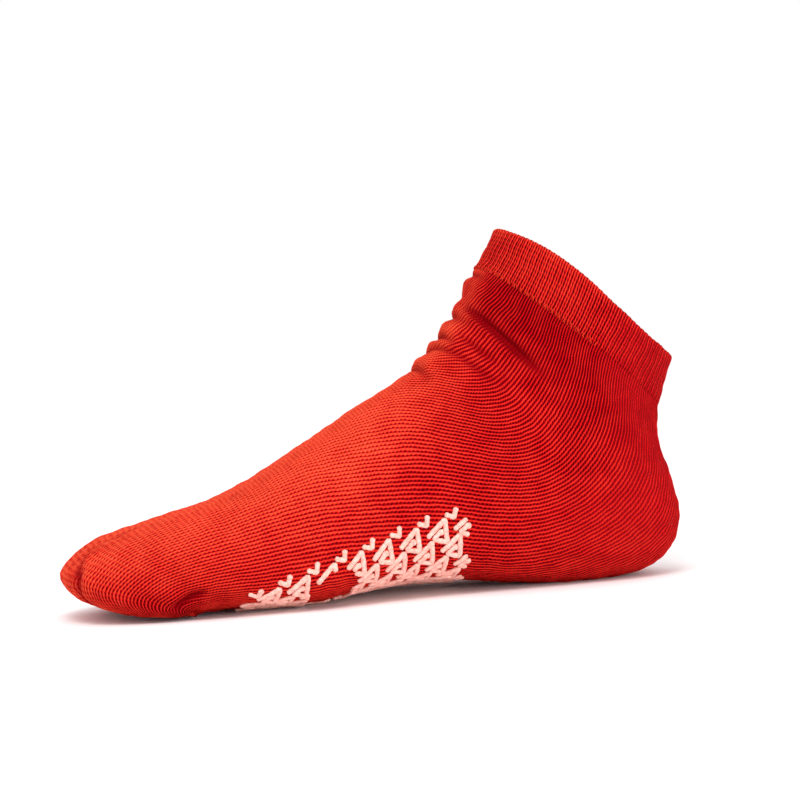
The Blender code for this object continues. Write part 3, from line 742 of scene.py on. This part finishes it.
cuff_rows = np.linspace(CUFF_START - CUFF_HANG / TUBE_LENGTH, 1.0 - RIM_RADIUS / TUBE_LENGTH, CUFF_ROWS)
cuff_base, cuff_normals, _ = sock_surface(*knit_places(RIB_COLUMNS, cuff_rows))
rib_phase = 2 * math.pi * np.arange(RIB_COLUMNS) / RIB_POINTS
rib = RIB_DEPTH * (np.abs(np.cos(rib_phase / 2)) ** 0.8 - 1)
risen = smooth_step(cuff_rows, cuff_rows[0], cuff_rows[0] + CUFF_RISE / TUBE_LENGTH)
cuff_lift = np.minimum(CUFF_STEP * risen + LEAST_STEP, CUFF_STEP)
cuff_outside = cuff_base + (cuff_lift[:, None] + rib[None, :])[..., None] * cuff_normals
rim_up = cuff_outside[-1] - cuff_outside[-2]
rim_up /= np.linalg.norm(rim_up, axis=1, keepdims=True)
turn_angles = np.linspace(0, math.pi, TURN_ROWS + 2)[1:-1, None, None]
rim_middle = cuff_base[-1] + (CUFF_STEP - RIM_RADIUS) * cuff_normals[-1]
rim_scallop = (1 + 0.12 * np.cos(rib_phase))[None, :, None]
rim_turn = rim_middle + RIM_RADIUS * (np.cos(turn_angles) * (1 + rib / RIM_RADIUS * 0.6)[None, :, None]
                                      * cuff_normals[-1] + np.sin(turn_angles) * rim_scallop * rim_up)
cuff_inside = (cuff_base - (KNIT_WALL - rib[None, :, None] * 0.3) * cuff_normals)[::-1]
cuff_grid = np.concatenate([cuff_outside, rim_turn, cuff_inside])
print("the cuff has", RIBS, "ribs and is", round(1000 * (1 - CUFF_START) * TUBE_LENGTH, 1), "mm high")

# %% The cuff's stitches, and the cuff
COURSE_SHARE = 0.7  # courses of the cuff for one of the tube
OVER_RIM = 3.0  # the way over the rim, in radii

turn_rows = cuff_rows[-1] + np.linspace(0, OVER_RIM, TURN_ROWS + 2)[1:-1] * RIM_RADIUS / TUBE_LENGTH
cuff_courses = np.concatenate([cuff_rows, turn_rows, turn_rows[-1] + cuff_rows[-1] - cuff_rows[::-1]])
cuff_courses = COURSE_SHARE * course_number(np.append(cuff_courses, cuff_courses[-1] + 0.005))
cuff_stitches = np.stack(np.broadcast_arrays(np.arange(RIB_COLUMNS + 1)[None, :] / (RIB_POINTS / 2),
                                             cuff_courses[:, None]), axis=-1)
# The grooves between ribs are the open part, darkened as painted shade. Near the rim they close, and behind
# the whole cuff is stretched, which gives it more painted shade and deeper red crowns
groove = np.tile(0.60 + 0.45 * np.sin(rib_phase / 2) ** 2, (CUFF_ROWS, 1))
cuff_open_and_shade = np.concatenate([groove, np.full((TURN_ROWS, RIB_COLUMNS), 0.5), groove])
cuff_open_and_shade[CUFF_ROWS - 2:CUFF_ROWS] = 0.6
cuff_around = knit_places(RIB_COLUMNS, cuff_rows[:1])[0]
cuff_open_and_shade += 0.4 * smooth_step(np.abs(np.mod(cuff_around, 1.0) - 0.5), 0.16, 0.34)
cuff_calm = np.repeat(calm_shares(cuff_around, np.ones_like(cuff_around)), len(cuff_grid), axis=0)
ribbed_cuff = grid_mesh("ribbed_cuff", red_cotton, cuff_grid, cuff_stitches,
                        {"open": cuff_open_and_shade, "calm": cuff_calm}, ring=(True, True))
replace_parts(ribbed_cuff, "knit_sock")

# %% [markdown]
# ## Loops along the edge of the cuff
#
# Where the ribs are hung on the tube, a row of looser loops stands off the knit. Relief in the material
# could hint at them, but they cast shade on the tube, so each is a thin tube of yarn carried along a short
# slanting line. Bare spun cotton shows the eye its fibres, as a mottle of darker and lighter red.

# %% The loops along the lower edge of the cuff
LOOP_RADIUS = 0.00024
LOOP_SIDES = 6
LOOP_PROFILE = (0.0, 0.9, 1.0, 1.0, 0.9, 0.0)  # shares of the radius along a loop, closed at its ends
LOOP_ENDS = (-0.0016, 0.0008)  # below and above the start of the cuff
LOOP_HALF = 0.26  # loops are drawn in front, up to this share of the girth from the middle
YARN_SCALE = 2500.0  # fibres to a metre, drawn 0.4 mm coarse, so that they show


def yarn_material():
    """The same cotton as a bare yarn: its fibres make fine noise in colour and relief."""
    material, tree = new_material("red_cotton_yarn")
    where = add_node(tree, "TexCoord").outputs["Object"]
    fibre = add_node(tree, "TexNoise", Vector=where, Scale=YARN_SCALE, Detail=2.0).outputs["Fac"]
    colour = add_node(tree, "Mix", {"data_type": "RGBA"}, in0=fibre, in6=linear("#9c060c"),
                      in7=linear("#dc3c26"))
    bump = add_node(tree, "Bump", Height=fibre, Strength=1.0, Distance=0.00008)
    shader = add_node(tree, "BsdfPrincipled", Base_Color=colour.outputs[2], Roughness=COTTON_ROUGHNESS,
                      Normal=bump.outputs["Normal"])
    shader.inputs["Specular IOR Level"].default_value = COTTON_SPECULAR
    add_node(tree, "OutputMaterial", Surface=shader.outputs[0])
    return material


def edge_loops():
    """Grids of short slanting yarns, one a wale. Each is a circle carried along its line, which rises off
    the knit as a sine does and comes back. Sines of their number make them uneven."""
    count = np.arange(WALES)
    steps = len(LOOP_PROFILE)
    rows = CUFF_START + np.linspace(*LOOP_ENDS, steps) / TUBE_LENGTH
    lean = (0.5 + 0.9 * np.sin(2.4 * count)) / WALES
    around, along = knit_places(WALES, rows)
    around = around + np.linspace(0, 1, steps)[:, None] * lean[None, :]
    points, normals, _ = sock_surface(around, along)
    arch = np.sin(np.linspace(0.1, 2.6, steps))[:, None]
    lift = 0.0001 + 0.0005 * arch * (0.6 + 0.4 * np.sin(1.7 * count))
    points = points + lift[..., None] * normals
    way = np.gradient(points, axis=0)
    side = np.cross(way, normals)
    side /= np.linalg.norm(side, axis=2, keepdims=True)
    angles = 2 * math.pi * np.arange(LOOP_SIDES) / LOOP_SIDES
    radius = LOOP_RADIUS * np.array(LOOP_PROFILE)[:, None, None, None]
    turn = np.cos(angles)[:, None] * side[:, :, None, :] + np.sin(angles)[:, None] * normals[:, :, None, :]
    tubes = points[:, :, None, :] + radius * turn
    in_front = np.abs(np.mod(around[0], 1.0) - 0.5) < LOOP_HALF
    return [tubes[:, number] for number in np.flatnonzero(in_front)]


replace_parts(beads_piece("edge_loops", yarn_material(), edge_loops()), "knit_sock")

# %% [markdown]
# ## Raised grip print
#
# The print is a soft plastic paste, squeezed through a screen onto the sock and baked, so each line is a
# low bead with round edges and ends. The same winding triangle repeats in staggered rows. A curve with a
# round bevel would stand off the knit, so a bead is a half-round profile carried along the drawn line and
# laid on the knit point by point. To the eye the paste is pale coral, matt and faintly waxy.

# %% Where the motifs stand
STROKE = 0.00200
MOTIF_PITCH = 0.0109
PRINT_START = 0.275 * FOOT_LENGTH
PRINT_END = 0.596 * FOOT_LENGTH
PRINT_CUT = 0.622 * FOOT_LENGTH
PRINT_BEND = 0.355  # place along the tube from which the rows bend in toward the sole
BARE_PATCH = (0.10, 0.2035, 0.346, 0.450)  # from and to a share of the girth, and of the length
Corner = namedtuple("Corner", "along down")
MOTIF = (Corner(-0.48, 0.12), Corner(0.31, -0.32), Corner(0.18, 0.46), Corner(-0.25, 0.24),
         Corner(0.08, 0.02), Corner(0.05, 0.19))
CHECK_MARK = (Corner(-0.26, -0.10), Corner(0.06, 0.08), Corner(0.21, -0.26))
PrintRow = namedtuple("PrintRow", "around even")
EDGE_ROW = PrintRow(0.221, False)
PRINT_ROWS = (
    PrintRow(0.204, True),
    PrintRow(0.176, False),
    PrintRow(0.146, True),
    PrintRow(0.086, True),
    PrintRow(0.026, True),
    PrintRow(-0.034, True),
    PrintRow(-0.094, True),
    PrintRow(-0.154, True),
)
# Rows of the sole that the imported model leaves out, each by the row that it is made one piece with
ROWS_BETWEEN = {4: PrintRow(0.116, False), 5: PrintRow(0.056, False), 6: PrintRow(-0.004, False),
                7: PrintRow(-0.064, False), 8: PrintRow(-0.124, False)}


def motif_places(row, bare=False):
    """Places along the sole of one row's motifs, every second row moved on by half a pitch. Those on the
    bare patch are left out, or they are the ones given."""
    first = PRINT_END - (0.5 * MOTIF_PITCH if row.even else 0.0)
    count = int((first - PRINT_START) / MOTIF_PITCH) + 1
    low, high, start, end = BARE_PATCH
    places = first - MOTIF_PITCH * np.arange(count)
    on_patch = (low < row.around < high) & (start < places / FOOT_LENGTH) & (places / FOOT_LENGTH < end)
    return places[on_patch == bare]


print("motifs in the packed model's rows:", sum(len(motif_places(row)) for row in PRINT_ROWS))


# %% Reading the knit under the print
GROUND_AROUND = np.linspace(-0.30, 0.32, 249)
GROUND_ALONG = np.linspace(0.02, 0.66, 321)
ground, ground_normals, _ = sock_surface(
    *[grid.T for grid in np.meshgrid(GROUND_AROUND, GROUND_ALONG, indexing="ij")], closed=False)
print("the knit under the print is read from", ground[..., 0].size, "points")


def read_ground(grid, u, v):
    """Values of a grid over the printed area at shares u of the girth and v of the length, linear between
    its points."""
    at_u = (u - GROUND_AROUND[0]) / (GROUND_AROUND[1] - GROUND_AROUND[0])
    at_v = (v - GROUND_ALONG[0]) / (GROUND_ALONG[1] - GROUND_ALONG[0])
    i = np.clip(at_v.astype(int), 0, len(GROUND_ALONG) - 2)
    j = np.clip(at_u.astype(int), 0, len(GROUND_AROUND) - 2)
    s, t = (at_v - i)[:, None], (at_u - j)[:, None]
    below = grid[i, j] * (1 - t) + grid[i, j + 1] * t
    above = grid[i + 1, j] * (1 - t) + grid[i + 1, j + 1] * t
    return below * (1 - s) + above * s


def lay_on_knit(around, place, drawing):
    """Points of a flat drawing in metres on the knit, with the normals there. Its middle goes to a share of
    the girth and a place along the sole, and the local size of a step in either share turns metres into
    shares. Toward the toe the rows bend in toward the sole."""
    bend = np.clip((PRINT_BEND - GROUND_ALONG) / PRINT_BEND, 0, 1) ** 2
    row = around * (1 - bend)
    line = read_ground(ground, row, GROUND_ALONG)
    v = float(np.interp(place, line[:, 0] + CENTRE[0], GROUND_ALONG))
    u = float(np.interp(v, GROUND_ALONG, row))
    reach = 0.004
    near = read_ground(ground, np.array([u - reach, u + reach, u, u]), np.array([v, v, v - reach, v + reach]))
    by_u, by_v = (near[1] - near[0]) / (2 * reach), (near[3] - near[2]) / (2 * reach)
    length = np.linalg.norm(by_v)
    lean = by_u @ by_v / length
    width = np.linalg.norm(by_u - lean * by_v / length)
    du = -drawing[:, 1] / width
    dv = (drawing[:, 0] - du * lean) / length
    return read_ground(ground, u + du, v + dv), read_ground(ground_normals, u + du, v + dv)


# %% The bead and its paste
BEAD_STEP = 0.00045
BEAD_ACROSS = np.array([1.0, 0.86, 0.45, 0.0, -0.45, -0.86, -1.0, -0.7, 0.7])
BEAD_UP = np.array([0.10, 0.62, 0.95, 1.0, 0.95, 0.62, 0.10, -0.25, -0.25])
BEAD_HEIGHT = PRINT_GAP + PRINT_THICKNESS
BEAD_SWELL = 0.08
SHORTEST_CUT = 6  # steps of a cut line that are still printed
BLOTCH_SCALE = 700.0  # the paste is blotched over 1.4 mm
PIT_SCALE = 1600.0  # and pitted by the stitches under it, drawn 0.6 mm wide
print("a bead is", 1000 * STROKE, "mm wide and", round(1000 * BEAD_HEIGHT, 1), "mm high")


def bead_path(corners):
    """A line through the corners in even small steps, its corners rounded by the mean of neighbours."""
    corners = np.array(corners) * MOTIF_PITCH
    lengths = np.concatenate([[0], np.cumsum(np.linalg.norm(np.diff(corners, axis=0), axis=1))])
    steps = np.linspace(0, lengths[-1], max(4, int(lengths[-1] / BEAD_STEP)) + 1)
    path = np.stack([np.interp(steps, lengths, corners[:, k]) for k in (0, 1)], axis=1)
    path[1:-1] = (path[:-2] + 2 * path[1:-1] + path[2:]) / 4
    return path


def cut_paths(around, place, path, keep):
    """The runs of a path where keep is true, if they are long enough. keep is given the row's share of the
    girth, the places along the sole, and how far down from the row they are."""
    kept = np.concatenate([[False], keep(around, place + path[:, 0], path[:, 1]), [False]])
    starts = np.flatnonzero(~kept[:-1] & kept[1:])
    ends = np.flatnonzero(kept[:-1] & ~kept[1:])
    return [path[start:end] for start, end in zip(starts, ends) if end - start >= SHORTEST_CUT]


def bead(around, place, path, phase):
    """Grid of a printed bead: a low half round carried along the path. Its width swells by sines along the
    line and closes at the ends as a quarter circle does."""
    way = np.gradient(path, axis=0)
    way /= np.linalg.norm(way, axis=1, keepdims=True)
    side = np.stack([-way[:, 1], way[:, 0]], axis=1)
    travelled = np.concatenate([[0], np.cumsum(np.linalg.norm(np.diff(path, axis=0), axis=1))])
    to_end = np.minimum(travelled, travelled[-1] - travelled) / (STROKE / 2)
    close = np.sqrt(np.clip(1 - np.clip(1 - to_end, 0, 1) ** 2, 0, 1))
    swell = 1 + BEAD_SWELL * np.sin(travelled * 1900 + phase)
    swell = swell + BEAD_SWELL * np.sin(travelled * 4700 + 2 * phase)
    half = STROKE / 2 * close * swell
    flat = path[:, None, :] + half[:, None, None] * BEAD_ACROSS[None, :, None] * side[:, None, :]
    points, normals = lay_on_knit(around, place, flat.reshape(-1, 2))
    up = BEAD_UP[None, :] * np.sqrt(close)[:, None] * BEAD_HEIGHT * (0.94 + 0.06 * swell[:, None])
    points = points + up.reshape(-1, 1) * normals
    points[:, 2] = np.maximum(points[:, 2], 0.0)
    return points.reshape(*flat.shape[:2], 3)


def paste_material():
    """Soft plastic paste: matt, its surface slightly pitted where it dried on the knit. Light goes a little
    way in, which softens the edges of the beads and makes it look faintly waxy."""
    material, tree = new_material("coral_plastic_print")
    where = add_node(tree, "TexCoord").outputs["Object"]
    blotch = add_node(tree, "TexNoise", Vector=where, Scale=BLOTCH_SCALE, Detail=3.0)
    ramp = add_node(tree, "ValToRGB", Fac=blotch.outputs["Fac"])
    for element, position, colour in zip(ramp.color_ramp.elements, (0.3, 0.65), ("#eb9b8c", "#f7bfb2")):
        element.position, element.color = position, linear(colour)
    pits = add_node(tree, "TexNoise", Vector=where, Scale=PIT_SCALE, Detail=2.0)
    bump = add_node(tree, "Bump", Height=pits.outputs["Fac"], Strength=0.5, Distance=0.00025)
    shader = add_node(tree, "BsdfPrincipled", Base_Color=ramp.outputs["Color"], Roughness=0.55,
                      Normal=bump.outputs["Normal"], Subsurface_Weight=0.15, Subsurface_Scale=0.001)
    add_node(tree, "OutputMaterial", Surface=shader.outputs[0])
    return material


coral_paste = paste_material()

# %% Build the print
def before_cut(around, along, down):
    """Where the screen prints: everything up to its rear edge."""
    return along < PRINT_CUT


def off_patch(around, along, down):
    """Where the screen prints round the bare patch, a rounded box |a|^4 + |b|^4 = 1 inside its bounds."""
    low, high, start, end = BARE_PATCH
    across = (down - (around - (low + high) / 2) * BALL_GIRTH) / ((high - low) / 2 * BALL_GIRTH)
    middle, half = (start + end) / 2 * FOOT_LENGTH, (end - start) / 3 * FOOT_LENGTH
    return ((along - middle) / half) ** 4 + across ** 4 > 1


def printed(row, place, path, keep, phase):
    """The beads of one drawing at a place on a row."""
    return [bead(row.around, place, part, phase) for part in cut_paths(row.around, place, path, keep)]


motif_path, check_path = bead_path(MOTIF), bead_path(CHECK_MARK)
number = 0
for row_number, row in enumerate(PRINT_ROWS, start=1):
    row_beads, nodes = [], []
    for place in motif_places(row):
        number += 1
        row_beads += printed(row, place, motif_path, off_patch, number)
        nodes.append(f"print_{row_number}_{number:02d}")
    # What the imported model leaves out: motifs cut off by the patch and by the rear edge, checks and rows
    extra = [(row, place, motif_path, off_patch) for place in motif_places(row, bare=True)]
    extra.append((row, PRINT_END + (0.5 if row.even else 1.0) * MOTIF_PITCH, motif_path, before_cut))
    if row_number == 1:
        extra += [(EDGE_ROW, place, check_path, before_cut) for place in motif_places(EDGE_ROW)]
    if row_number in ROWS_BETWEEN:
        between = ROWS_BETWEEN[row_number]
        extra += [(between, place, motif_path, before_cut) for place in motif_places(between)]
        extra += [(between, place, motif_path, off_patch) for place in motif_places(between, bare=True)]
    for extra_row, place, path, keep in extra:
        row_beads += printed(extra_row, place, path, keep, number + place)
    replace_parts(beads_piece(f"grip_row_{row_number}", coral_paste, row_beads), *nodes)

# %% [markdown]
# ## Floor, light and camera
#
# A pale floor and soft white light from all round, as on a product table. A large soft light stands high in
# front, a little to the left, and a low one in front on the right, which lights the heel. The camera looks
# at the inner side from nearly level height and is rolled a little, so the sock climbs toward the right.

# %% The stage
FLOOR_HALF = 3.0
WHITE = linear("#ffffff")
floor_mesh = bpy.data.meshes.new("pale_floor")
floor_corners = [(FLOOR_HALF * x, FLOOR_HALF * y, 0.0) for x, y in ((-1, -1), (1, -1), (1, 1), (-1, 1))]
floor_mesh.from_pydata(floor_corners, [], [(0, 1, 2, 3)])
floor_paint, floor_tree = new_material("pale_floor_paint")
floor_shader = add_node(floor_tree, "BsdfPrincipled", Base_Color=WHITE, Roughness=0.9)
floor_shader.inputs["Specular IOR Level"].default_value = 0.1
add_node(floor_tree, "OutputMaterial", Surface=floor_shader.outputs[0])
floor_mesh.materials.append(floor_paint)
floor = bpy.data.objects.new("pale_floor", floor_mesh)
bpy.context.scene.collection.objects.link(floor)

world = bpy.data.worlds.new("soft_white")
world.use_nodes = True
world.node_tree.nodes["Background"].inputs["Color"].default_value = WHITE
world.node_tree.nodes["Background"].inputs["Strength"].default_value = 1.0
bpy.context.scene.world = world
bpy.context.scene.view_settings.view_transform = "Standard"


def stand(thing, place, right, up, back):
    """Puts a lamp or a camera in the scene at a place, turned to three axes. It looks away from its back."""
    bpy.context.scene.collection.objects.link(thing)
    axes = Matrix(np.stack([right, up, back], axis=1).tolist())
    thing.matrix_world = Matrix.LocRotScale(tuple(place), axes.to_quaternion(), None)


def soft_light(name, place, aim, size, power):
    """A square area light at a place, turned to shine on another."""
    data = bpy.data.lights.new(name, "AREA")
    data.size = size
    data.energy = power
    back = np.subtract(place, aim) / np.linalg.norm(np.subtract(place, aim))
    right = np.cross((0, 0, 1), back) / np.linalg.norm(np.cross((0, 0, 1), back))
    stand(bpy.data.objects.new(name, data), place, right, np.cross(back, right), back)
    print(name, "is", size, "m wide and gives", power, "W")


soft_light("key_light", (-0.25, -0.70, 1.0), (0.0, 0.0, 0.05), 0.5, 6.4)
soft_light("fill_light", (0.50, -0.90, 0.06), (0.06, 0.0, 0.02), 0.6, 6.0)

# %% The camera
CAMERA_AZIMUTH = math.radians(-12)
CAMERA_HEIGHT = math.radians(3)
CAMERA_ROLL = math.radians(3.3)
CAMERA_DISTANCE = 1.2
CAMERA_AIM = (0.12, 0.0, 0.06)  # from the toe, and then moved right and up in the picture
AIM_RIGHT = 0.0125
AIM_UP = 0.0141
VIEW_WIDTH = 0.3042
SENSOR = 36.0

back = np.array([math.sin(CAMERA_AZIMUTH) * math.cos(CAMERA_HEIGHT),
                 -math.cos(CAMERA_AZIMUTH) * math.cos(CAMERA_HEIGHT), math.sin(CAMERA_HEIGHT)])
level = np.array([math.cos(CAMERA_AZIMUTH), math.sin(CAMERA_AZIMUTH), 0.0])
upright = np.cross(back, level)
right = level * math.cos(CAMERA_ROLL) - upright * math.sin(CAMERA_ROLL)
up = level * math.sin(CAMERA_ROLL) + upright * math.cos(CAMERA_ROLL)
aim = np.array(CAMERA_AIM) - CENTRE + right * AIM_RIGHT + up * AIM_UP
camera_data = bpy.data.cameras.new("camera")
camera_data.sensor_width = SENSOR
camera_data.lens = SENSOR * CAMERA_DISTANCE / VIEW_WIDTH
camera = bpy.data.objects.new("camera", camera_data)
stand(camera, aim + back * CAMERA_DISTANCE, right, up, back)
bpy.context.scene.camera = camera
print("the camera has a lens of", round(camera_data.lens), "mm")
